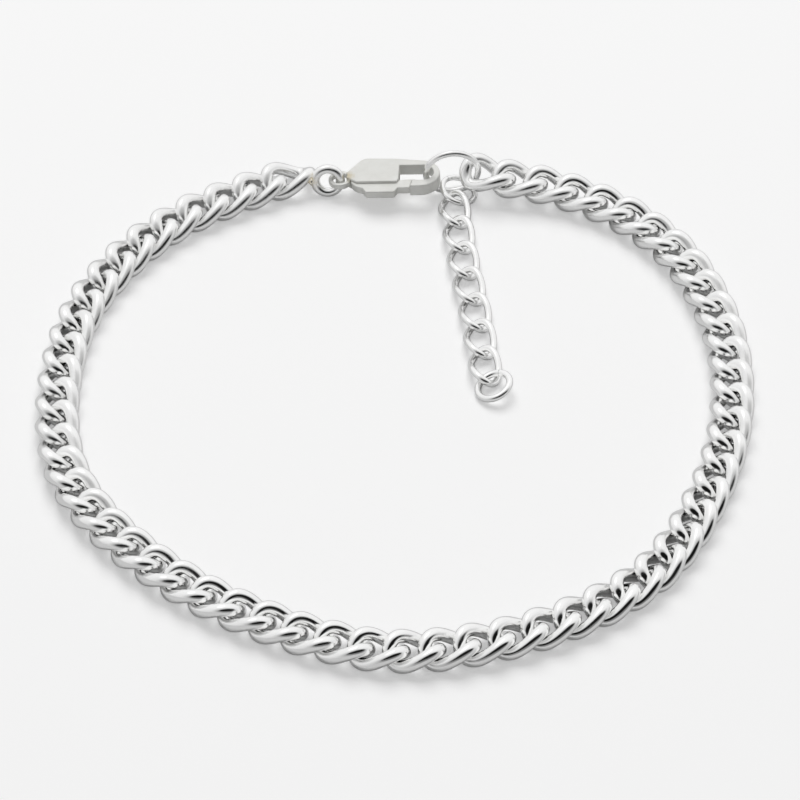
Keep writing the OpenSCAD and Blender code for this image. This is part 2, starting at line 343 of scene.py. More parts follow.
def inset(outline: np.ndarray, depth: float, least_spread: float = 0.5) -> np.ndarray:
    """Moves a closed outline inward by the same depth on every side.

    Args:
        outline: Points counted anticlockwise, mm.
        depth: How far each side moves, mm.
        least_spread: Keeps the point of a sharp corner from running far inward.

    Returns:
        As many points, moved along the bisector at each corner.
    """
    ahead = np.roll(outline, -1, 0) - outline
    ahead = ahead / np.linalg.norm(ahead, axis=1, keepdims=True)
    behind = np.roll(ahead, 1, 0)
    left_ahead = np.stack([-ahead[:, 1], ahead[:, 0]], 1)
    left_behind = np.stack([-behind[:, 1], behind[:, 0]], 1)
    spread = 1 + np.sum(left_ahead * left_behind, 1, keepdims=True)
    return outline + depth * (left_ahead + left_behind) / np.maximum(spread, least_spread)


def plate(
    outline: np.ndarray, low: float, high: float, low_edge: float, high_edge: float, steps: int = 5
) -> np.ndarray:
    """Loops of a plate with rounded rims.

    Args:
        outline: Points counted anticlockwise, mm.
        low: Height of the lower face.
        high: Height of the upper face.
        low_edge: Radius of the lower rim, or 0 for a sharp one.
        high_edge: Radius of the upper rim, or 0 for a sharp one.
        steps: Straight runs in each rounded rim.

    Returns:
        Grid of loops, from the lower face to the upper one.
    """
    quarter, sharp = np.linspace(0, math.pi / 2, steps + 1), [math.pi / 2]
    loops = []
    for turn in quarter if low_edge > 0 else sharp:
        loops.append((low_edge * (1 - math.sin(turn)), low + low_edge * (1 - math.cos(turn))))
    for turn in quarter[::-1] if high_edge > 0 else sharp:
        loops.append((high_edge * (1 - math.sin(turn)), high - high_edge * (1 - math.cos(turn))))
    grid = []
    for depth, height in loops:
        flat = inset(outline, depth) if depth > 0 else outline
        grid.append(np.column_stack([flat, np.full(len(flat), height)]))
    return np.array(grid)


# Meshes


def put(name: str, data: bpy.types.ID) -> bpy.types.Object:
    """Puts a new object into the scene.

    Args:
        name: Name of the object.
        data: Its mesh, camera or light.

    Returns:
        The object.
    """
    thing = bpy.data.objects.new(name, data)
    bpy.context.scene.collection.objects.link(thing)
    return thing


class Shell:
    """Vertices and faces of one piece, gathered part by part, mm."""

    SHARP = math.radians(50)
    MOST_SMOOTH_CORNERS = 4  # only the flat caps have more

    def __init__(self) -> None:
        """Starts with nothing."""
        self.points: list[np.ndarray] = []
        self.faces: list[list[int]] = []
        self.caps: list[list[int]] = []
        self.count = 0

    def _add_grid(self, grid: np.ndarray, closed: bool) -> int:
        """Adds a grid of points and the faces between its rows.

        Args:
            grid: Closed loops of points, one row for each loop.
            closed: Whether the last row is joined to the first.

        Returns:
            Number of the grid's first point.
        """
        first, (rows, cols) = self.count, grid.shape[:2]
        self.points.append(grid.reshape(-1, 3))
        self.count += rows * cols
        for i in range(rows if closed else rows - 1):
            near, far = first + i * cols, first + (i + 1) % rows * cols
            for j in range(cols):
                j2 = (j + 1) % cols
                self.faces.append([near + j, far + j, far + j2, near + j2])
        return first

    def add_tube(self, grid: np.ndarray) -> None:
        """Adds a tube that closes on itself, from a grid of points along it and around it."""
        self._add_grid(grid, closed=True)

    def add_stack(self, grid: np.ndarray) -> None:
        """Adds a stack of closed loops with a flat face at each end.

        Args:
            grid: The loops, one row for each.
        """
        first, (rows, cols) = self._add_grid(grid, closed=False), grid.shape[:2]
        for start in (first, first + (rows - 1) * cols):
            self.caps.append([start + j for j in range(cols)])

    def mesh(self, name: str) -> bpy.types.Mesh:
        """Makes the mesh, in metres, with smooth sides, flat caps and sharp corners.

        Args:
            name: Name of the mesh.

        Returns:
            The mesh, its faces turned outward.
        """
        data = bpy.data.meshes.new(name)
        data.from_pydata((np.concatenate(self.points) * MM).tolist(), [], self.faces + self.caps)
        shape = bmesh.new()
        shape.from_mesh(data)
        bmesh.ops.recalc_face_normals(shape, faces=shape.faces)
        for face in shape.faces:
            face.smooth = len(face.verts) <= self.MOST_SMOOTH_CORNERS
        for edge in shape.edges:
            edge.smooth = not (len(edge.link_faces) == 2 and edge.calc_face_angle() > self.SHARP)
        shape.to_mesh(data)
        shape.free()
        return data

    def piece(
        self,
        name: str,
        finish: bpy.types.Material,
        slot: Slot,
        nodes: Sequence[str],
        body: Body = Body.BRACELET,
    ) -> bpy.types.Object:
        """Makes the piece, dresses it and lets it stand for its solids.

        Args:
            name: Name of the piece.
            finish: Its material.
            slot: Finish in the record that it follows; not used.
            nodes: Solids that it replaces.
            body: What it moves with.

        Returns:
            The new object.
        """
        data = self.mesh(name)
        data.materials.append(finish)
        thing = put(name, data)
        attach(thing, body.value)
        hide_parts(*nodes)
        LOG.info("%s: %d points, %d faces, for %s", name, self.count, len(data.polygons), ", ".join(nodes))
        return thing


# Finishes


class Sheet:
    """Places and wires the nodes of one tree."""

    COLOUR_A, COLOUR_B, MIXED = 6, 7, 2  # sockets of a Mix node that are for colours

    def __init__(self, tree: bpy.types.NodeTree) -> None:
        """Starts on a tree."""
        self.tree = tree

    @classmethod
    def bare(cls, owner: bpy.types.Material | bpy.types.World) -> "Sheet":
        """Empties the nodes of a material or the world.

        Args:
            owner: The material or world.

        Returns:
            Sheet of its empty tree.
        """
        owner.use_nodes = True
        owner.node_tree.nodes.clear()
        return cls(owner.node_tree)

    def fill(self, node: bpy.types.Node, values: dict[Any, Any]) -> None:
        """Gives a node's inputs what they hold.

        Args:
            node: The node.
            values: Input sockets, by name or number, and what they hold: a value or another node's output.
        """
        for key, value in values.items():
            if isinstance(value, Socket):
                self.tree.links.new(value, node.inputs[key])
            else:
                node.inputs[key].default_value = value

    def add(self, kind: str, values: dict[Any, Any] | None = None, **settings: Any) -> bpy.types.Node:
        """Places a node.

        Args:
            kind: Blender's name of the node type.
            values: Its inputs, as for fill.
            settings: Properties of the node itself.

        Returns:
            The new node.
        """
        node = self.tree.nodes.new(kind)
        for key, value in settings.items():
            setattr(node, key, value)
        self.fill(node, values or {})
        return node

    def effect(self, group: bpy.types.NodeTree, values: dict[str, Any]) -> bpy.types.Node:
        """Places a node group with its values."""
        return self.add("ShaderNodeGroup", values, node_tree=group)

    def math(self, operation: str, first: Any, second: Any = 0.0) -> Socket:
        """Places a Math node on two inputs and returns its output."""
        return self.add("ShaderNodeMath", {0: first, 1: second}, operation=operation).outputs[0]

    def vector(self, operation: str, first: Any, second: Any = (0, 0, 0), output: str = "Value") -> Socket:
        """Places a Vector Math node on two inputs and returns one of its outputs."""
        return self.add("ShaderNodeVectorMath", {0: first, 1: second}, operation=operation).outputs[output]

    def noise(self, place: Any, scale: Any, detail: float, roughness: float = 0.5) -> Socket:
        """Places a Noise node and returns its value."""
        values = {"Vector": place, "Scale": scale, "Detail": detail, "Roughness": roughness}
        return self.add("ShaderNodeTexNoise", values).outputs["Fac"]

    def mixed(self, share: Any, first: Any, second: Any, blend: str = "MIX") -> Socket:
        """Places a Mix node on two colours and returns its output."""
        values = {"Factor": share, self.COLOUR_A: first, self.COLOUR_B: second}
        return self.add("ShaderNodeMix", values, data_type="RGBA", blend_type=blend).outputs[self.MIXED]

    def ranged(self, value: Socket, given: Pair, wanted: Pair = (0.0, 1.0), kind: str = "LINEAR") -> Socket:
        """Brings a value from one range to another and holds it within the ends.

        Args:
            value: The value.
            given: Its values at the two ends.
            wanted: What they become.
            kind: Way from one end to the other, by Blender's name.

        Returns:
            The new value.
        """
        ends = {"From Min": given[0], "From Max": given[1], "To Min": wanted[0], "To Max": wanted[1]}
        return self.add("ShaderNodeMapRange", {"Value": value, **ends}, interpolation_type=kind).outputs[0]


class Effect:
    """Shader node groups that the silver finishes share, each built once."""

    HAIRLINES = ((0.4, (1.0, 0.06, 0.3)), (1.7, (1.0, 0.05, 0.25)), (2.6, (1.0, 0.09, 0.2)))  # turn, stretch
    HAIRLINE_TILT = (0.2, 0.3)
    MID_NOISE = 0.5
    HAZE_SCALE = 0.12  # share of the hairlines' scale
    CLOUD_EDGES = (0.38, 0.72)  # noise values of clean and of dulled silver
    RAGGED_SCALE = 3500.0
    RAGGED_DEPTH = 0.9  # share of the stain's reach

    @staticmethod
    def _group(name: str, inputs: dict[str, str], outputs: dict[str, str]) -> tuple[Sheet, list[Socket]]:
        """Starts a node group.

        Args:
            name: Name of the group.
            inputs: Names of the inputs and their kinds: Vector, Float or Color.
            outputs: Names of the outputs and their kinds.

        Returns:
            The sheet of the group, and the sockets that its inputs come in by.
        """
        tree = bpy.data.node_groups.new(name, "ShaderNodeTree")
        for way, sockets in (("INPUT", inputs), ("OUTPUT", outputs)):
            for label, kind in sockets.items():
                tree.interface.new_socket(label, in_out=way, socket_type=f"NodeSocket{kind}")
        sheet = Sheet(tree)
        given = sheet.add("NodeGroupInput")
        return sheet, [given.outputs[label] for label in inputs]

    @classmethod
    @cache
    def fine_scratches(cls) -> bpy.types.NodeTree:
        """Crossing hairlines from handling, and a cloudy haze that changes more slowly over the surface.

        Returns:
            Group with the outputs Height and Haze.
        """
        inputs = {"Place": "Vector", "Scale": "Float", "Line Width": "Float"}
        outputs = {"Height": "Float", "Haze": "Float"}
        sheet, (place, scale, width) = cls._group("fine scratches", inputs, outputs)
        deepest = 0.0
        for turn, stretch in cls.HAIRLINES:
            values = {"Vector": place, "Rotation": (*cls.HAIRLINE_TILT, turn), "Scale": stretch}
            grain = sheet.noise(sheet.add("ShaderNodeMapping", values).outputs[0], scale, detail=2.0)
            away = sheet.math("ABSOLUTE", sheet.math("SUBTRACT", grain, cls.MID_NOISE))
            line = sheet.math("SUBTRACT", 1.0, sheet.math("DIVIDE", away, width))
            deepest = sheet.math("MAXIMUM", line, deepest)
        haze = sheet.noise(place, sheet.math("MULTIPLY", scale, cls.HAZE_SCALE), detail=3.0, roughness=0.6)
        sheet.add("NodeGroupOutput", {"Height": sheet.math("SUBTRACT", 1.0, deepest), "Haze": haze})
        return sheet.tree

    @classmethod
    @cache
    def silver_tone(cls) -> bpy.types.NodeTree:
        """Colour that drifts between clean and slightly dulled silver.

        Returns:
            Group with the output Colour.
        """
        inputs = {"Place": "Vector", "Scale": "Float", "Clean": "Color", "Dulled": "Color"}
        sheet, (place, scale, clean, dulled) = cls._group("silver tone", inputs, {"Colour": "Color"})
        cloud = sheet.noise(place, scale, detail=4.0, roughness=0.6)
        colour = sheet.mixed(sheet.ranged(cloud, cls.CLOUD_EDGES), clean, dulled)
        sheet.add("NodeGroupOutput", {"Colour": colour})
        return sheet.tree

    @classmethod
    @cache
    def solder_stain(cls) -> bpy.types.NodeTree:
        """Soft ragged patch about a point, where heat left a tint.

        Returns:
            Group with the output Mask.
        """
        inputs = {"Place": "Vector", "Middle": "Vector", "Reach": "Float"}
        sheet, (place, middle, reach) = cls._group("solder stain", inputs, {"Mask": "Float"})
        share = sheet.math("DIVIDE", sheet.vector("DISTANCE", place, middle), reach)
        ragged = sheet.math("MULTIPLY", sheet.noise(place, cls.RAGGED_SCALE, detail=3.0), cls.RAGGED_DEPTH)
        edge = sheet.math("SUBTRACT", sheet.math("ADD", share, ragged), cls.RAGGED_DEPTH / 2)
        sheet.add("NodeGroupOutput", {"Mask": sheet.ranged(edge, (1.0, 0.0), kind="SMOOTHSTEP")})
        return sheet.tree


@dataclass(frozen=True)
class Stain:
    """Tint that the torch left, mm."""

    middle: Triple
    reach: float
    colour: Triple = (0.86, 0.78, 0.62)
    haze: float = 0.5  # how much it dulls the gloss


@dataclass(frozen=True)
class SilverFinish:
    """Surface of silver: colours, gloss and fine marks. Scales and slopes are per metre, depths in mm."""

    name: str
    clean: Triple  # colour where it is clean
    dulled: Triple  # colour where it is dulled
    smoothest: float  # roughness where there is no haze
    roughest: float  # roughness in the haze
    scratch_depth: float
    scratch_scale: float = 2600.0
    line_width: float = 0.012  # half width of a hairline, as a noise value
    grain_depth: float = 0.0
    grain_scale: float = 9000.0
    wave_depth: float = 0.0
    wave_scale: float = 450.0
    tone_scale: float = 420.0
    mirror: float = 1.0  # 1 for a full mirror, less for a satin face
    haze_edges: Pair = (0.3, 0.75)  # haze that gives the smoothest and the roughest place
    haze_slope: Triple = (0.0, 0.0, 0.0)  # how the haze grows along x, y and z
    stains: tuple[Stain, ...] = ()

    def material(self) -> bpy.types.Material:
        """Builds the material.

        Returns:
            Material whose colour, roughness and relief all change over the surface.
        """
        made = bpy.data.materials.new(self.name)
        made.use_nodes = True
        sheet = Sheet(made.node_tree)
        place = sheet.add("ShaderNodeTexCoord").outputs["Object"]
        colours = {"Clean": (*self.clean, 1), "Dulled": (*self.dulled, 1)}
        tone = sheet.effect(Effect.silver_tone(), {"Place": place, "Scale": self.tone_scale, **colours})
        lines = {"Scale": self.scratch_scale, "Line Width": self.line_width}
        marks = sheet.effect(Effect.fine_scratches(), {"Place": place, **lines})
        colour = tone.outputs["Colour"]
        haze = sheet.math("ADD", marks.outputs["Haze"], sheet.vector("DOT_PRODUCT", place, self.haze_slope))
        for stain in self.stains:
            values = {"Place": place, "Middle": Vector(stain.middle) * MM, "Reach": stain.reach * MM}
            mask = sheet.effect(Effect.solder_stain(), values).outputs["Mask"]
            colour = sheet.mixed(mask, colour, (*stain.colour, 1), blend="MULTIPLY")
            haze = sheet.math("ADD", haze, sheet.math("MULTIPLY", mask, stain.haze))
        height = sheet.math("MULTIPLY", marks.outputs["Height"], self.scratch_depth)
        for depth, scale, detail in (
            (self.grain_depth, self.grain_scale, 3.0),
            (self.wave_depth, self.wave_scale, 1.0),
        ):
            if depth > 0:
                swell = sheet.math("MULTIPLY", sheet.noise(place, scale, detail), depth)
                height = sheet.math("ADD", height, swell)
        bump = sheet.add("ShaderNodeBump", {"Height": height, "Distance": MM, "Strength": 1.0})
        sheet.fill(made.node_tree.nodes["Principled BSDF"], {
            "Base Color": colour,
            "Metallic": self.mirror,
            "Roughness": sheet.ranged(haze, self.haze_edges, (self.smoothest, self.roughest)),
            "Normal": bump.outputs[0],
        })
        return made


POLISHED = SilverFinish(
    name="polished silver wire",
    clean=(0.97, 0.97, 0.965),
    dulled=(0.91, 0.91, 0.905),
    smoothest=0.06,
    roughest=0.25,
    scratch_depth=0.0006,
    wave_depth=0.012,
    wave_scale=900.0,
    haze_slope=(-2.0, 3.0, 0.0),
)
SATIN = SilverFinish(
    name="satin cast silver",
    clean=(0.86, 0.86, 0.83),
    dulled=(0.78, 0.78, 0.745),
    smoothest=0.42,
    roughest=0.55,
    scratch_depth=0.001,
    grain_depth=0.004,
    wave_depth=0.05,
    mirror=0.5,
)


# Sizes and places


@dataclass(frozen=True)
class ClaspSizes:
    """Flat sprung clasp in its own frame: x from the tail eye to the hook, z through its thickness, mm.

    A round corner is its middle and its radius. The far side is the one away from the lever.
    """

    thickness: float = 1.3
    cheek: float = 0.2  # thickness of each cheek
    hook_x: float = 7.7
    hook_y: float = 0.2
    hook_r: float = 1.87
    hook_gap: float = 2.1
    gap_rise: float = 0.1  # the gap's middle is this much further across than the hook's
    nose: float = 0.62  # width of the hook at its nose
    eye_hole: float = 1.4
    eye_rim: float = 0.42
    eye_thickness: float = 0.6
    eye_softness: float = 0.6  # 1 gives the eye a round section, and less a squarer one
    pin: float = 0.6
    pin_sunk: float = 0.05  # how deep the pin goes into each cheek
    running_gap: float = 0.04  # air all round the lever
    tail: Triple = (0.95, 0.1, 0.5)
    tint_back: float = 0.1  # middle of the solder tint behind the tail's corner
    tint_y: float = -0.1  # its place across the clasp
    far: tuple[Triple, Triple] = ((2.6, 1.45, 1.0), (5.2, 1.47, 0.9))
    near: tuple[Triple, Triple] = ((1.7, -0.84, 0.15), (5.39, -0.84, 0.15))
    hole_start: float = 5.65  # straight end of the hook's hole
    notch_rise: float = 0.01  # how far the cheek's notch passes the gap's side
    shoulder_x: float = 0.3  # shoulder of the inner metal, ahead of the pivot
    neck_x: float = 0.1  # point ahead of the hole that the wall behind the lever aims at
    neck_rise: float = 0.25  # its place across, from the hook's middle
    pivot: Pair = (2.3, -0.35)
    knuckle: float = 1.25  # radius of the lever about its pivot
    knuckle_start: float = 40.0  # angles about the pivot, degrees
    knuckle_end: float = 255.0
    knuckle_room_end: float = 77.0  # angle at which the inner metal leaves the knuckle, degrees
    lever_outer: float = -1.65  # place of the lever's outer edge across the clasp
    lever_inner: float = -0.55  # place of its inner edge
    tip_back: float = 0.88  # lever's tip behind the hook's middle
    tip_in: float = 0.45  # lever's tip inside its outer edge
    lip_reach: float = 0.35
    lip_width: float = 0.28
    lip_start: float = 0.6
    thumb_out: float = 0.6  # height of the thumb piece
    thumb_x: Pair = (2.75, 5.1)
    thumb_round: float = 0.3
    thumb_turn: float = 60.0  # how far each corner of the thumb piece bends, degrees
    thumb_slope: float = 0.5  # run of each slope beside the thumb piece
    cheek_rim: float = 0.14  # rounding of the cheek's outer rim
    lever_rim: float = 0.12

    @property
    def hook_inner(self) -> float:
        """Inner side of the hook's nose."""
        return self.hook_x + self.hook_r - self.nose

    @property
    def gap_middle(self) -> float:
        """Middle of the hook's gap across the clasp."""
        return self.hook_y + self.gap_rise

    @property
    def gap_low(self) -> float:
        """Side of the hook's gap that the lever shuts."""
        return self.gap_middle - self.hook_gap / 2

    @property
    def tip_reach(self) -> float:
        """Distance from the pivot to the lever's tip."""
        tip = (self.hook_x - self.tip_back, self.lever_outer + self.tip_in)
        return math.hypot(tip[0] - self.pivot[0], tip[1] - self.pivot[1])

    def angle_at(self, y: float, radius: float) -> float:
        """Angle at which an arc about the pivot passes a place across the clasp, degrees."""
        return math.degrees(math.asin((y - self.pivot[1]) / radius))


@dataclass(frozen=True)
class Plan:
    """Where every piece lies, worked out from the first link through the clasp to the last link, mm.

    The link is the solids' link, and the full link has the real one's full round wire.
    """

    link: WireLink = WireLink(hole_length=3.25, hole_width=1.9, wire=1.1, play=0.2, cross_gap=0.28)
    full_link: WireLink = WireLink(hole_length=3.15, hole_width=1.7, wire=1.2, play=0.1, cross_gap=0.18)
    ext_link: WireLink = WireLink(hole_length=3.75, hole_width=1.85, wire=0.65, play=0.12, cross_gap=0.22)
    clasp_ring: WireRing = WireRing(diameter=2.4, wire=0.9, lean=73.0)
    hook_ring: WireRing = WireRing(diameter=5.0, wire=0.6, lean=94.0, turn=5.0)
    ext_ring: WireRing = WireRing(diameter=3.26, wire=0.55, lean=19.0, turn=75.5)
    end_ring: WireRing = WireRing(diameter=3.1, wire=0.65, lean=22.0, turn=-84.0)
    clasp: ClaspSizes = ClaspSizes()
    solid_around: int = 14  # points around a link of the solids
    solid_across: int = 6
    start: Pair = (-10.7, 29.2)  # middle of the first link
    route: tuple[Pair, ...] = (
        (-16.2, 26.4), (-21.1, 23.1), (-28.4, 13.2), (-31, 1), (-29.5, -11.1), (-22.3, -21.3),
        (-12.6, -28.3), (-1, -32.2), (11, -30.1), (21.5, -23.5), (27.3, -13.4), (30.1, -1.5), (29.2, 10.4),
        (24.7, 20.4), (20.2, 24.8), (14.7, 27.5),
    )
    end_y: float = 28.6  # place of the last link's middle along y
    end_rise: float = 1.0  # height that the last link gains
    rise_links: float = 4.5  # links over which it rises
    first_turn: float = -5.0  # turn of the first link out of line, degrees
    link_span: float = 0.5  # half the run of the route that gives a link its heading
    solder_depth: float = 0.17  # how far the ring sinks into the first link
    eye_y: float = 28.55
    eye_z: float = 1.65
    clasp_turn: float = -3.0
    clasp_pitch: float = 3.6
    hook_ring_y: float = 28.4
    hook_side_gap: float = 0.18
    link_side_gap: float = 0.35
    ext_route: tuple[Pair, ...] = ((6, 17.5), (7, 10.5), (7.8, 3.4), (8.4, -1.5))
    ext_ring_at: Pair = (0.63, -0.36)  # place of the extender's ring, from the hook ring
    ext_ring_out: float = -98.0  # direction in which the extender leaves its ring, degrees
    ext_ring_slack: float = 0.4  # air inside that ring
    ext_span: float = 1.0  # as link_span, for the extender
    end_ring_out: float = -74.0  # direction in which the end ring hangs, degrees
    end_ring_slack: float = 0.3
    ext_links: int = 7

    def first_heading(self) -> float:
        """Heading of the first link, degrees."""
        return Route([self.start, *self.route]).heading(0, self.link_span) + self.first_turn

    def clasp_ring_x(self) -> float:
        """Finds where the soldered ring meets the first link's outline.

        Returns:
            Place of the ring's middle along x.
        """
        long, wide = (half + self.link.wire / 2 for half in (self.link.half_length, self.link.half_width))
        turn = math.radians(self.first_heading())
        rise = (long * math.sin(turn), wide * math.cos(turn))
        t = math.atan2(rise[1], rise[0]) - math.acos((self.eye_y - self.start[1]) / math.hypot(*rise))
        side = self.start[0] + long * math.cos(t) * math.cos(turn) - wide * math.sin(t) * math.sin(turn)
        return side + self.clasp_ring.radius + self.clasp_ring.wire / 2 - self.solder_depth

    def clasp_pose(self) -> Pose:
        """Pose of the clasp's own frame at the tail eye."""
        eye_x = self.clasp_ring_x() + self.clasp_ring.radius
        return Pose((eye_x, self.eye_y, self.eye_z), self.clasp_turn, self.clasp_pitch)

    def hook_ring_pose(self) -> Pose:
        """Hangs the ring in the hook.

        Returns:
            Pose of the ring, its wire a small gap away from the hook's nose.
        """
        ring = self.hook_ring
        z = ring.rest_height
        nose = np.array([self.clasp.hook_inner, self.clasp.hook_y, -self.clasp.thickness / 2])
        point = self.clasp_pose().apply(nose)
        x = point[0] - ring.wire / 2 - self.hook_side_gap + math.sqrt(ring.radius**2 - (z - point[2]) ** 2)
        return Pose((float(x), self.hook_ring_y, z), ring.turn, lean=ring.lean)

    def chain(self) -> Route:
        """Draws the route of the whole bracelet chain.

        Returns:
            Route from the first link's middle to the last one's, which hangs in the hook ring.
        """
        link, ring = self.link, self.hook_ring_pose().at
        pitch = math.atan(2 * self.end_rise / (self.rise_links * link.pitch))
        tip_z = link.rest_height + self.end_rise + link.half_length * math.sin(pitch)
        reach = self.hook_ring.radius - (self.hook_ring.wire + link.wire) / 2 - self.link_side_gap
        last_x = ring[0] + math.sqrt(reach**2 - (ring[2] - tip_z) ** 2) + link.half_length * math.cos(pitch)
        return Route([self.start, *self.route, (last_x, self.end_y)])

    def link_poses(self) -> list[Pose]:
        """Lays the bracelet's links along their route, the last few rising to the hook ring.

        Returns:
            Poses from the clasp to the hook ring.
        """
        link, chain = self.link, self.chain()
        count = 1 + math.ceil(chain.length / link.pitch)
        rise_run = self.rise_links * link.pitch
        poses = []
        for i in range(count):
            s = i * chain.length / (count - 1)
            share = max(s - (chain.length - rise_run), 0) / rise_run
            pitch = math.atan(2 * self.end_rise * share / rise_run)
            lift = max(self.end_rise * share**2, link.half_length * math.sin(math.pi / 4) * math.sin(pitch))
            x, y = chain.place(s)
            heading = chain.heading(s, self.link_span) + (self.first_turn if i == 0 else 0)
            poses.append(Pose((x, y, link.rest_height + lift), heading, math.degrees(pitch)))
        return poses

    def full_link_poses(self) -> list[Pose]:
        """Poses of the links with their full round wire, which closes the gaps between the solids."""
        rise = self.full_link.rest_height - self.link.rest_height
        return [replace(pose, at=(*pose.at[:2], pose.at[2] + rise)) for pose in self.link_poses()]

    def ext_ring_pose(self) -> Pose:
        """Pose of the small ring that carries the extender, beside the hook ring."""
        ring, held, (dx, dy) = self.ext_ring, self.hook_ring_pose().at, self.ext_ring_at
        return Pose((held[0] + dx, held[1] + dy, ring.rest_height), ring.turn, lean=ring.lean)

    def ext_poses(self) -> list[Pose]:
        """Lays the extender's links along their route.

        Returns:
            Poses from the hook ring to the free end.
        """
        ring = self.ext_ring_pose().at
        wires = (self.ext_ring.wire + self.ext_link.wire) / 2
        reach = self.ext_ring.radius + self.ext_link.half_length - wires - self.ext_ring_slack
        out = math.radians(self.ext_ring_out)
        run = Route([(ring[0] + reach * math.cos(out), ring[1] + reach * math.sin(out)), *self.ext_route])
        poses = []
        for k in range(self.ext_links):
            s = k * self.ext_link.pitch
            poses.append(Pose((*run.place(s), self.ext_link.rest_height), run.heading(s, self.ext_span)))
        return poses

    def end_ring_pose(self) -> Pose:
        """Hangs the plain ring on the extender's last link.

        Returns:
            Pose of the ring.
        """
        ring, link, last = self.end_ring, self.ext_link, self.ext_poses()[-1].at
        reach = ring.radius + link.half_length - (ring.wire + link.wire) / 2 - self.end_ring_slack
        out = math.radians(self.end_ring_out)
        at = (last[0] + reach * math.cos(out), last[1] + reach * math.sin(out), ring.rest_height)
        return Pose(at, ring.turn, lean=ring.lean)

    def shift(self) -> np.ndarray:
        """Finds the move that brings the middle of the loop's footprint to the origin.

        Returns:
            The move, worked out on links with as many flat sides as the solids have.
        """
        coarse = self.link.skin(self.solid_around, self.solid_across)
        points = np.concatenate([pose.apply(coarse).reshape(-1, 3) for pose in self.link_poses()])
        middle = (points.min(0) + points.max(0)) / 2
        return np.array([-middle[0], -middle[1], 0.0])


# Sub-assemblies


@dataclass
class CurbChain:
    """Interlocked links of round wire around the loop, in two halves. Angles in degrees."""

    plan: Plan
    shift: np.ndarray
    around: int = 96
    across: int = 28
    sway: float = 0.7  # usual turn of a link out of line
    most_sway: float = 1.4
    seed: int = 5

    def poses(self) -> list[Pose]:
        """Turns each link a little out of line, as loose links are.

        Returns:
            Poses of all links, the first link among them.
        """
        chance = np.random.default_rng(self.seed)
        swayed = []
        for pose in self.plan.full_link_poses():
            turn, tilt = chance.normal(0, self.sway, 2).clip(-self.most_sway, self.most_sway)
            swayed.append(Pose(pose.at, pose.heading + turn, pose.pitch, tilt))
        return swayed

    def build(self, finish: bpy.types.Material) -> list[bpy.types.Object]:
        """Builds the two halves.

        Args:
            finish: Material of the wire.

        Returns:
            The clasp side and the hook side.
        """
        skin = self.plan.full_link.skin(self.around, self.across)
        poses = self.poses()
        half = len(poses) // 2 + 1
        made = []
        for name, node, run in (
            ("links_clasp_side", "curb_chain_left", poses[1:half]),
            ("links_hook_side", "curb_chain_right", poses[half:]),
        ):
            shell = Shell()
            for pose in run:
                shell.add_tube(pose.apply(skin) + self.shift)
            made.append(shell.piece(name, finish, Slot.POLISHED, [node]))
        return made


@dataclass
class EndLink:
    """First link with a ring soldered to its tip. The bead of solder is given by its half spans, mm."""

    plan: Plan
    shift: np.ndarray
    bead: Triple = (0.34, 0.5, 0.42)
    bead_top: float = 86.0  # latitude of the bead's last loop, degrees
    broad_lumps: float = 0.04  # height of the bead's broad lumps, as a share
    small_lumps: float = 0.03

    def ring_place(self) -> Triple:
        """Place of the soldered ring's middle, before the shift."""
        return self.plan.clasp_ring_x(), self.plan.eye_y, self.plan.clasp_ring.rest_height

    def joint(self) -> Triple:
        """Finds the middle of the soldered joint.

        Returns:
            Its place, mm.
        """
        x, y, z = self.ring_place()
        ring = self.plan.clasp_ring
        x = x - ring.radius - ring.wire / 2 + self.plan.solder_depth / 2
        return tuple(float(v) for v in np.array([x, y, z]) + self.shift)

    def bead_skin(self, around: int = 48, up: int = 24) -> np.ndarray:
        """Surface of the solder bead that fills the joint between the two wires.

        Args:
            around: Points around each loop.
            up: Loops from bottom to top.

        Returns:
            Grid of loops, already in its place.
        """
        rise = np.radians(np.linspace(-self.bead_top, self.bead_top, up))[:, None]
        t = circle(around)[None, :]
        broad, small = np.sin(3 * t + 1.0) * np.cos(rise), np.cos(5 * t) * np.sin(2 * rise)
        ripple = 1 + self.broad_lumps * broad + self.small_lumps * small
        x = self.bead[0] * np.cos(rise) * np.cos(t) * ripple
        y = self.bead[1] * np.cos(rise) * np.sin(t) * ripple
        z = self.bead[2] * np.sin(rise) + 0 * t
        return np.stack([x, y, z], -1) + np.array(self.joint())

    def build(self, finish: bpy.types.Material) -> bpy.types.Object:
        """Builds the link, its ring and the solder between them in one piece.

        Args:
            finish: Material of the wire, tinted at the joint.

        Returns:
            The piece.
        """
        plan, shell = self.plan, Shell()
        link = plan.full_link.skin(around=128, across=36)
        shell.add_tube(plan.full_link_poses()[0].apply(link) + self.shift)
        ring = plan.clasp_ring.closed_skin(around=112, across=36)
        shell.add_tube(Pose(self.ring_place(), lean=plan.clasp_ring.lean).apply(ring) + self.shift)
        shell.add_stack(self.bead_skin())
        return shell.piece("first_link_and_ring", finish, Slot.POLISHED, ["end_link"])


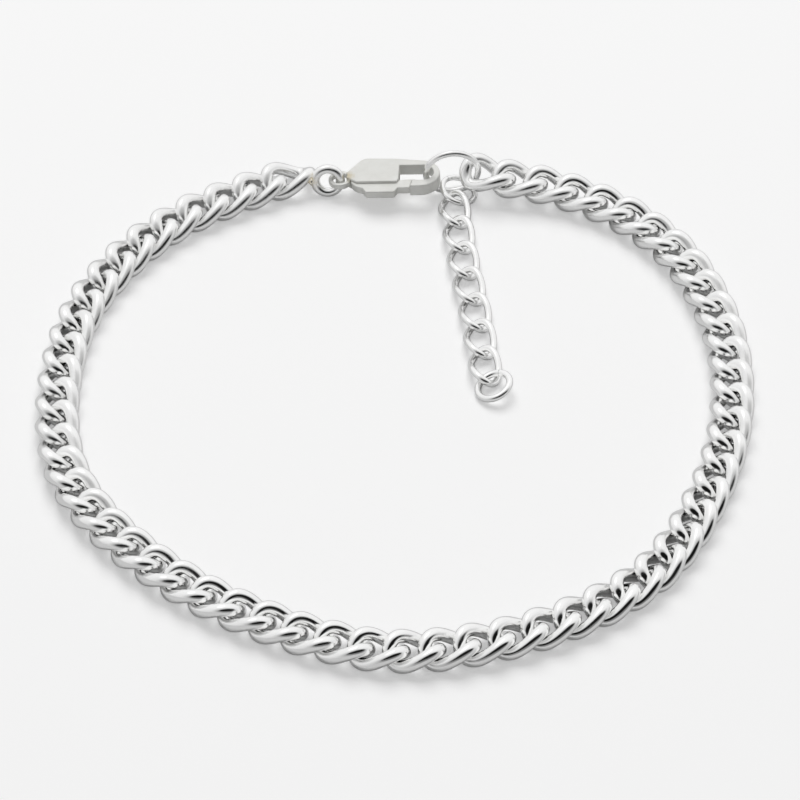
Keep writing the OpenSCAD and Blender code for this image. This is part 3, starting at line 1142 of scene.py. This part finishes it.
@dataclass
class Clasp:
    """Flat sprung clasp: body with two cheeks, hook and tail eye, and the lever between the cheeks."""

    plan: Plan
    shift: np.ndarray
    eye_around: int = 72
    eye_across: int = 28

    def _placed(self, grid: np.ndarray) -> np.ndarray:
        """Moves points from the clasp's own frame to their place."""
        return self.plan.clasp_pose().apply(grid) + self.shift

    def tail_tip(self) -> Triple:
        """Finds the tip of the upper cheek at the tail, where the eye was soldered on.

        Returns:
            Its place, mm.
        """
        s = self.plan.clasp
        tip = np.array([s.tail[0] - s.tint_back, s.tint_y, s.thickness / 2])
        return tuple(float(v) for v in self._placed(tip))

    def _mouth(self) -> np.ndarray:
        """Draws the edge of the open hook.

        Returns:
            Points from the top of the hole's straight end to the outer corner of the hook's tip.
        """
        s = self.plan.clasp
        half, swing = s.hook_gap / 2, s.tip_reach + s.running_gap
        top, bottom = s.angle_at(s.gap_low, swing), s.angle_at(s.hook_y - s.hook_r, swing)
        return np.concatenate([
            [(s.hole_start, s.gap_middle + half)],
            arc((s.hook_inner - half, s.gap_middle), half, 90, -90, steps=28),
            arc(s.pivot, swing, top, bottom, steps=6),
        ])

    def _far_side(self) -> np.ndarray:
        """Draws the outer edge away from the lever, and cuts the tail's corner back to the eye's hole.

        Returns:
            Points from the bottom of the hook around its nose, along the far side and around the hole.
        """
        s = self.plan.clasp
        corners = [(s.hook_x, s.hook_y, s.hook_r), s.far[1], s.far[0], s.tail]
        leave = [-90.0]
        for here, there in zip(corners, corners[1:]):
            leave.append(leave[-1] + (tangent_angle(here, there) - leave[-1]) % 360)
        turn = (tangent_angle(s.tail, s.near[0]) - leave[3]) % 360
        tail = round_corner(s.tail, leave[3], leave[3] + turn, steps=20)
        cut = tail[np.linalg.norm(tail, axis=1) < s.eye_hole / 2]
        first, last = (math.degrees(math.atan2(point[1], point[0])) for point in (cut[0], cut[-1]))
        return np.concatenate([
            round_corner(corners[0], leave[0], leave[1], steps=30),
            round_corner(corners[1], leave[1], leave[2], steps=10),
            round_corner(corners[2], leave[2], leave[3], steps=10),
            arc((0, 0), s.eye_hole / 2, first, last, steps=2),
        ])

    def cheek_outline(self) -> np.ndarray:
        """Draws a cheek with the hook.

        Returns:
            Its outline, counted anticlockwise.
        """
        s = self.plan.clasp
        left, right = s.near
        arrive, leave = tangent_angle(s.tail, left), tangent_angle(left, right)
        notch = s.gap_low + s.notch_rise
        return without_repeats(np.concatenate([
            self._far_side(),
            round_corner(left, arrive % 360 - 360, leave, steps=5),
            round_corner(right, leave, 0, steps=5),
            [(right[0] + right[2], notch), (s.hole_start, notch)],
            self._mouth(),
        ]))

    def spine_outline(self) -> np.ndarray:
        """Draws the metal between the cheeks: the far side and the hook, with room for the lever.

        Returns:
            Its outline, counted anticlockwise.
        """
        s = self.plan.clasp
        room = s.knuckle + s.running_gap
        left = s.pivot[0] - room
        side = math.radians(tangent_angle(s.tail, s.near[0]))
        foot, head = ((x + r * math.cos(side), y + r * math.sin(side)) for x, y, r in (s.tail, s.near[0]))
        cut_y = foot[1] + (head[1] - foot[1]) * (left - foot[0]) / (head[0] - foot[0])
        shoulder = (s.pivot[0] + s.shoulder_x, s.pivot[1] + s.knuckle)
        slope = (s.hook_y + s.neck_rise - shoulder[1]) / (s.hole_start + s.neck_x - shoulder[0])
        wall_y = shoulder[1] + slope * (s.hole_start - shoulder[0])
        return without_repeats(np.concatenate([
            self._far_side(),
            [(left, cut_y)],
            arc(s.pivot, room, 180, s.knuckle_room_end, steps=20),
            [(s.hole_start, wall_y)],
            self._mouth(),
        ]))

    def eye_skin(self) -> np.ndarray:
        """Shapes the tail eye, a flat ring with soft edges.

        Returns:
            Grid of points around the eye and around its rim.
        """
        s, u = self.plan.clasp, circle(self.eye_across)
        reach = s.eye_hole / 2 + s.eye_rim / 2 * (1 + squared_off(np.cos(u), s.eye_softness))
        rise = s.eye_thickness / 2 * squared_off(np.sin(u), s.eye_softness)
        return swept(reach, rise, circle(self.eye_around))

    def lever_outline(self) -> np.ndarray:
        """Draws the lever: knuckle, thumb piece, tip and the lip that stops it.

        Returns:
            Its outline, counted anticlockwise.
        """
        s = self.plan.clasp
        lip_y = s.gap_low + s.running_gap
        outer, lip = s.angle_at(s.lever_outer, s.tip_reach), s.angle_at(lip_y, s.tip_reach)
        thumb_y = s.lever_outer - s.thumb_out + s.thumb_round
        thumb_left, thumb_right = ((x, thumb_y, s.thumb_round) for x in s.thumb_x)
        end_x = s.pivot[0] + s.tip_reach + s.lip_reach
        return without_repeats(np.concatenate([
            arc(s.pivot, s.knuckle, s.knuckle_start, s.knuckle_end, steps=40),
            [(s.thumb_x[0] - s.thumb_slope, s.lever_outer)],
            round_corner(thumb_left, 270 - s.thumb_turn, 270, steps=8),
            round_corner(thumb_right, 270, 270 + s.thumb_turn, steps=8),
            [(s.thumb_x[1] + s.thumb_slope, s.lever_outer)],
            arc(s.pivot, s.tip_reach, outer, lip, steps=8),
            [(end_x, lip_y), (end_x, lip_y + s.lip_width)],
            [(s.hole_start + s.lip_start, lip_y + s.lip_width), (s.hole_start, s.lever_inner)],
        ]))

    def build_body(self, finish: bpy.types.Material) -> bpy.types.Object:
        """Builds the cheeks, the metal between them, the tail eye and the lever's pin in one piece.

        Args:
            finish: Material of the clasp.

        Returns:
            The piece.
        """
        s, shell = self.plan.clasp, Shell()
        top, inner = s.thickness / 2, s.thickness / 2 - s.cheek
        cheek = self.cheek_outline()
        shell.add_stack(self._placed(plate(cheek, inner, top, 0, s.cheek_rim)))
        shell.add_stack(self._placed(plate(cheek, -top, -inner, s.cheek_rim, 0)))
        shell.add_stack(self._placed(plate(self.spine_outline(), -inner, inner, 0, 0)))
        shell.add_tube(self._placed(self.eye_skin()))
        pin, pin_end = arc(s.pivot, s.pin / 2, 0, 360, steps=32)[:-1], inner + s.pin_sunk
        shell.add_stack(self._placed(plate(pin, -pin_end, pin_end, 0, 0)))
        return shell.piece("clasp_frame", finish, Slot.SATIN, ["clasp_body"])

    def build_lever(self, finish: bpy.types.Material) -> bpy.types.Object:
        """Builds the lever, which turns on its own body.

        Args:
            finish: Material of the clasp.

        Returns:
            The piece.
        """
        s, shell = self.plan.clasp, Shell()
        half = s.thickness / 2 - s.cheek - s.running_gap
        shell.add_stack(self._placed(plate(self.lever_outline(), -half, half, s.lever_rim, s.lever_rim)))
        return shell.piece("sprung_lever", finish, Slot.SATIN, ["clasp_lever"], Body.LEVER)


@dataclass
class LooseRing:
    """Ring bent shut from round wire, with the cut that the pliers left. Degrees and mm."""

    name: str
    node: str
    ring: WireRing
    pose: Pose
    shift: np.ndarray
    cut_at: float
    cut_width: float = 0.03
    around: int = 144
    across: int = 32

    def build(self, finish: bpy.types.Material) -> bpy.types.Object:
        """Builds the ring in its place.

        Args:
            finish: Material of the wire.

        Returns:
            The piece.
        """
        shell = Shell()
        skin = self.ring.cut_skin(self.around, self.across, self.cut_at, self.cut_width)
        shell.add_stack(self.pose.apply(skin) + self.shift)
        return shell.piece(self.name, finish, Slot.POLISHED, [self.node])


@dataclass
class Extender:
    """Short chain of thin curb links, each link its own piece."""

    plan: Plan
    shift: np.ndarray
    around: int = 128
    across: int = 32

    def build(self, finish: bpy.types.Material) -> list[bpy.types.Object]:
        """Builds the links.

        Args:
            finish: Material of the wire.

        Returns:
            The pieces, from the hook ring to the free end.
        """
        skin = self.plan.ext_link.skin(self.around, self.across)
        made = []
        for k, pose in enumerate(self.plan.ext_poses(), 1):
            shell = Shell()
            shell.add_tube(pose.apply(skin) + self.shift)
            made.append(shell.piece(f"extender_wire_{k}", finish, Slot.POLISHED, [f"extender_link_{k}"]))
        return made


# Studio


@dataclass(frozen=True)
class Patch:
    """Soft-edged oval in the surroundings: its middle, half spans and brightness.

    Angles are in degrees, from the front towards the right and from the horizon up.
    """

    azimuth: float
    elevation: float
    half_width: float
    half_height: float
    level: float
    softness: float

    def oval(self, sheet: Sheet, away: Socket) -> Socket:
        """Mask that fades from 1 inside the oval to 0 outside, by the distance as a share of its spans."""
        return sheet.ranged(away, (1 + self.softness, 1 - self.softness), kind="SMOOTHSTEP")

    def mask(self, sheet: Sheet, azimuth: Socket, elevation: Socket) -> Socket:
        """Places the nodes that mark where the patch lies.

        Args:
            sheet: Sheet of the world.
            azimuth: The direction's angle from the front, degrees.
            elevation: Its angle from the horizon, degrees.

        Returns:
            Socket that is 1 in the patch and 0 far from it.
        """
        wide = sheet.math("DIVIDE", sheet.math("SUBTRACT", azimuth, self.azimuth), self.half_width)
        tall = sheet.math("DIVIDE", sheet.math("SUBTRACT", elevation, self.elevation), self.half_height)
        both = sheet.math("ADD", sheet.math("MULTIPLY", wide, wide), sheet.math("MULTIPLY", tall, tall))
        return self.oval(sheet, sheet.math("SQRT", both))


@dataclass
class Studio:
    """Pale ground, soft light, surroundings that the silver mirrors, and the camera. Metres and degrees."""

    shift: np.ndarray  # the loop's own move, mm
    elevation: float = 43.97
    distance: float = 0.3947
    lens: float = 194.985
    sensor: float = 36.0
    clip: Pair = (0.01, 20.0)
    ground_size: float = 1.6
    ground_colour: float = 0.75
    ground_cloud: float = 0.004  # how far the ground's tone drifts
    ground_cloud_scale: float = 30.0
    ground_glow: float = 0.355
    mirrored_ground: float = 0.79  # its tone for rays that don't come from the camera
    lamp_at: Triple = (-0.04, 0.6, 1.0)
    lamp_size: float = 0.8
    lamp_power: float = 7.9
    soft_level: float = 0.3  # light from all round
    backdrop_level: float = 0.91
    room_level: float = 0.76  # brightness of the mirrored room
    room_slope: Triple = (0.0, 0.14, 0.16)  # how it grows along x, y and z
    patches: tuple[Patch, ...] = (
        Patch(azimuth=-150, elevation=66, half_width=60, half_height=16, level=1.25, softness=0.4),
        Patch(azimuth=14, elevation=32, half_width=70, half_height=43, level=0.45, softness=0.35),
        Patch(azimuth=16, elevation=26, half_width=52, half_height=24, level=0.2, softness=0.35),
    )
    card: Patch = Patch(azimuth=18, elevation=37, half_width=45, half_height=17, level=0.006, softness=0.25)
    card_distance: float = 0.16
    bounce_limit: float = 1.5  # between the first and the second glossy bounce

    def camera(self) -> bpy.types.Object:
        """Creates the camera at the photograph's angle.

        Returns:
            The camera, which becomes the scene's.
        """
        data = bpy.data.cameras.new("camera")
        data.sensor_width, data.lens = self.sensor, self.lens
        data.clip_start, data.clip_end = self.clip
        eye = put("camera", data)
        rise = math.radians(self.elevation)
        back = Vector((0, -math.cos(rise), math.sin(rise)))
        eye.location = Vector(self.shift) * MM + back * self.distance
        eye.rotation_euler = (math.pi / 2 - rise, 0, 0)
        bpy.context.scene.camera = eye
        return eye

    @staticmethod
    def _flat(name: str, x: float, y: float, finish: bpy.types.Material) -> bpy.types.Object:
        """Makes a flat rectangle about its own origin.

        Args:
            name: Name of the object.
            x: Half its width.
            y: Half its length.
            finish: Its material.

        Returns:
            The object.
        """
        data = bpy.data.meshes.new(name)
        data.from_pydata([(-x, -y, 0), (x, -y, 0), (x, y, 0), (-x, y, 0)], [], [[0, 1, 2, 3]])
        data.materials.append(finish)
        return put(name, data)

    def _direct(self, sheet: Sheet) -> Socket:
        """Mask that is 1 until a ray has bounced off two mirroring surfaces, and 0 after that."""
        depth = sheet.add("ShaderNodeLightPath").outputs["Glossy Depth"]
        return sheet.math("LESS_THAN", depth, self.bounce_limit)

    def ground(self) -> bpy.types.Object:
        """Lays the pale ground. The camera sees it glow a little, and other rays meet a plain pale card.

        Returns:
            The ground.
        """
        made = bpy.data.materials.new("pale card")
        sheet = Sheet.bare(made)
        place = sheet.add("ShaderNodeTexCoord").outputs["Object"]
        cloud = sheet.noise(place, self.ground_cloud_scale, detail=2.0)
        ends = (self.ground_colour - self.ground_cloud, self.ground_colour + self.ground_cloud)
        lit = sheet.add("ShaderNodeBsdfDiffuse", {"Color": sheet.ranged(cloud, (0.0, 1.0), ends)})
        glow = sheet.add("ShaderNodeEmission", {"Color": WHITE, "Strength": self.ground_glow})
        shown = sheet.add("ShaderNodeAddShader", {0: lit.outputs[0], 1: glow.outputs[0]})
        mirrored = sheet.add("ShaderNodeBsdfDiffuse", {"Color": (*[self.mirrored_ground] * 3, 1)})
        seen = sheet.add("ShaderNodeLightPath").outputs["Is Camera Ray"]
        both = sheet.add("ShaderNodeMixShader", {0: seen, 1: mirrored.outputs[0], 2: shown.outputs[0]})
        sheet.add("ShaderNodeOutputMaterial", {"Surface": both.outputs[0]})
        thing = self._flat("ground", self.ground_size / 2, self.ground_size / 2, made)
        return thing

    def dark_card(self) -> bpy.types.Object:
        """Hangs a soft-edged black card in front, so near that each side of the loop mirrors it differently.

        Returns:
            The card, which only mirrored rays meet.
        """
        card = self.card
        wide = self.card_distance * math.tan(math.radians(card.half_width))
        high = self.card_distance * math.tan(math.radians(card.half_height))
        made = bpy.data.materials.new("black card")
        sheet = Sheet.bare(made)
        place = sheet.add("ShaderNodeTexCoord").outputs["Object"]
        shares = sheet.vector("MULTIPLY", place, (1 / wide, 1 / high, 1), output="Vector")
        mask = sheet.math("MULTIPLY", card.oval(sheet, sheet.vector("LENGTH", shares)), self._direct(sheet))
        clear = sheet.add("ShaderNodeBsdfTransparent")
        black = sheet.add("ShaderNodeEmission", {"Color": WHITE, "Strength": card.level})
        shown = sheet.add("ShaderNodeMixShader", {0: mask, 1: clear.outputs[0], 2: black.outputs[0]})
        sheet.add("ShaderNodeOutputMaterial", {"Surface": shown.outputs[0]})
        thing = self._flat("dark card", wide * (1 + card.softness), high * (1 + card.softness), made)
        turn, rise = math.radians(card.azimuth), math.radians(card.elevation)
        way = Vector((math.sin(turn) * math.cos(rise), -math.cos(turn) * math.cos(rise), math.sin(rise)))
        thing.location = way * self.card_distance
        thing.rotation_euler = way.to_track_quat("Z", "Y").to_euler()
        thing.visible_camera = thing.visible_diffuse = thing.visible_shadow = False
        return thing

    def key_lamp(self) -> bpy.types.Object:
        """Hangs the soft square lamp behind and above, facing the bracelet.

        Returns:
            The lamp, which the silver doesn't mirror.
        """
        data = bpy.data.lights.new("key lamp", "AREA")
        data.shape, data.size, data.energy = "SQUARE", self.lamp_size, self.lamp_power
        thing = put("key lamp", data)
        thing.location = self.lamp_at
        thing.rotation_euler = (-Vector(self.lamp_at)).to_track_quat("-Z", "Y").to_euler()
        thing.visible_glossy = False
        return thing

    def surroundings(self) -> None:
        """Paints the pale room that the silver mirrors, an even light for the rest and a plain backdrop."""
        world = bpy.data.worlds.new("studio")
        bpy.context.scene.world = world
        sheet = Sheet.bare(world)
        way = sheet.add("ShaderNodeTexCoord").outputs["Generated"]
        parts = sheet.add("ShaderNodeSeparateXYZ", {0: way}).outputs
        level = sheet.math("ADD", sheet.vector("DOT_PRODUCT", way, self.room_slope), self.room_level)
        ahead = sheet.math("MULTIPLY", parts["Y"], -1.0)
        azimuth = sheet.math("DEGREES", sheet.math("ARCTAN2", parts["X"], ahead))
        elevation = sheet.math("DEGREES", sheet.math("ARCSINE", parts["Z"]))
        direct = self._direct(sheet)
        for patch in self.patches:
            mask = sheet.math("MULTIPLY", patch.mask(sheet, azimuth, elevation), direct)
            change = sheet.math("MULTIPLY", mask, sheet.math("SUBTRACT", patch.level, level))
            level = sheet.math("ADD", level, change)
        mirrored, soft, behind = (
            sheet.add("ShaderNodeBackground", {"Color": colour, "Strength": strength}).outputs[0]
            for colour, strength in ((level, 1.0), (WHITE, self.soft_level), (WHITE, self.backdrop_level))
        )
        rays = sheet.add("ShaderNodeLightPath").outputs
        lit = sheet.add("ShaderNodeMixShader", {0: rays["Is Glossy Ray"], 1: soft, 2: mirrored})
        whole = sheet.add("ShaderNodeMixShader", {0: rays["Is Camera Ray"], 1: lit.outputs[0], 2: behind})
        sheet.add("ShaderNodeOutputWorld", {"Surface": whole.outputs[0]})

    def build(self) -> None:
        """Sets up the camera, the ground, the dark card, the surroundings and the lamp."""
        self.camera()
        self.ground()
        self.dark_card()
        self.surroundings()
        self.key_lamp()
        bpy.context.scene.view_settings.view_transform = "Standard"
        LOG.info("studio: camera %.0f mm away, ground, card, room and lamp set", self.distance / MM)


def main() -> None:
    """Builds the studio and each part of the bracelet in order."""
    logging.basicConfig(level=logging.INFO, format="%(name)s: %(message)s", stream=sys.stdout)
    plan = Plan()
    shift = plan.shift()
    Studio(shift).build()
    end_link, clasp = EndLink(plan, shift), Clasp(plan, shift)
    joint_stain, tail_stain = Stain(end_link.joint(), reach=1.0), Stain(clasp.tail_tip(), reach=0.8)
    wire = POLISHED.material()
    tinted = replace(POLISHED, name="silver wire tinted by the torch", stains=(joint_stain,)).material()
    satin = replace(SATIN, stains=(tail_stain,)).material()
    hook_ring, ext_ring, end_ring = (
        LooseRing(name, node, ring, pose, shift, cut_at)
        for name, node, ring, pose, cut_at in (
            ("hook_jump_ring", "hook_ring", plan.hook_ring, plan.hook_ring_pose(), 200.0),
            ("extender_jump_ring", "extender_ring", plan.ext_ring, plan.ext_ring_pose(), 60.0),
            ("free_end_ring", "end_ring", plan.end_ring, plan.end_ring_pose(), 150.0),
        )
    )
    CurbChain(plan, shift).build(wire)
    end_link.build(tinted)
    clasp.build_body(satin)
    clasp.build_lever(satin)
    hook_ring.build(wire)
    ext_ring.build(wire)
    Extender(plan, shift).build(wire)
    end_ring.build(wire)


if __name__ == "__main__":
    main()
